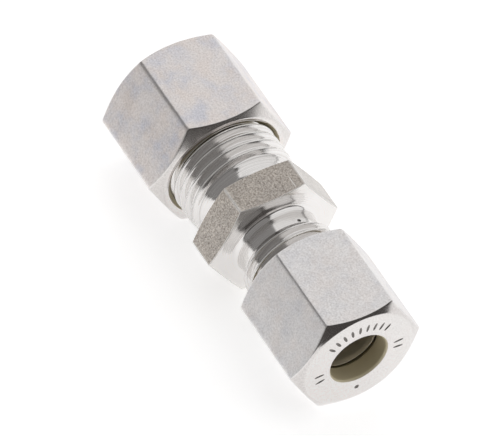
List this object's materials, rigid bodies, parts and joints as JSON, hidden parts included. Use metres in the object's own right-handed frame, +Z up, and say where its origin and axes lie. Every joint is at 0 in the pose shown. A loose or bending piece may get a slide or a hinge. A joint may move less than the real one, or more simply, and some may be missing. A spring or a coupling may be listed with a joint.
{
  "type": "reducing tube coupling",
  "caption": "Straight reducing compression coupling: hexagon body with threaded stubs, union nuts and cutting rings, joining a 10 mm tube to an 8 mm tube.",
  "frame": {"origin": "centre of the bounding box, on the tube axis, midway between the outer faces of the two union nuts", "axes": "+X along the tube axis towards the smaller tube end, +Z up, square to the top flats of the nuts"},
  "size_m": [0.052, 0.022, 0.019],
  "materials": {
    "body_steel": "coarse grained forged-look hexagon, bright turned stubs",
    "nut_steel": "satin, lightly mottled",
    "ring_steel": "bright turned"
  },
  "bodies": {
    "body": {"coupling_body": "body_steel"},
    "large_ring": {"large_cutting_ring": "ring_steel"},
    "large_nut": {"large_union_nut": "nut_steel"},
    "small_ring": {"small_cutting_ring": "ring_steel"},
    "small_nut": {"small_union_nut": "nut_steel"}
  },
  "joints": [
    {"name": "large_ring_slide", "type": "slide", "parent": "body", "child": "large_ring", "axis": [1, 0, 0], "range_m": [-0.00225, 0.00263]},
    {"name": "large_nut_turn", "type": "hinge", "parent": "large_ring", "child": "large_nut", "pos_m": [-0.01825, 0, 0], "axis": [1, 0, 0], "range_deg": [-540.5, 630.5]},
    {"name": "small_ring_slide", "type": "slide", "parent": "body", "child": "small_ring", "axis": [1, 0, 0], "range_m": [-0.00263, 0.00225]},
    {"name": "small_nut_turn", "type": "hinge", "parent": "small_ring", "child": "small_nut", "pos_m": [0.01825, 0, 0], "axis": [1, 0, 0], "range_deg": [-630.5, 540.5]}
  ],
  "couplings": [
    {"joint": "large_nut_turn", "follows": "large_ring_slide", "rad_per_m": 4188.8},
    {"joint": "small_nut_turn", "follows": "small_ring_slide", "rad_per_m": 4188.8}
  ]
}
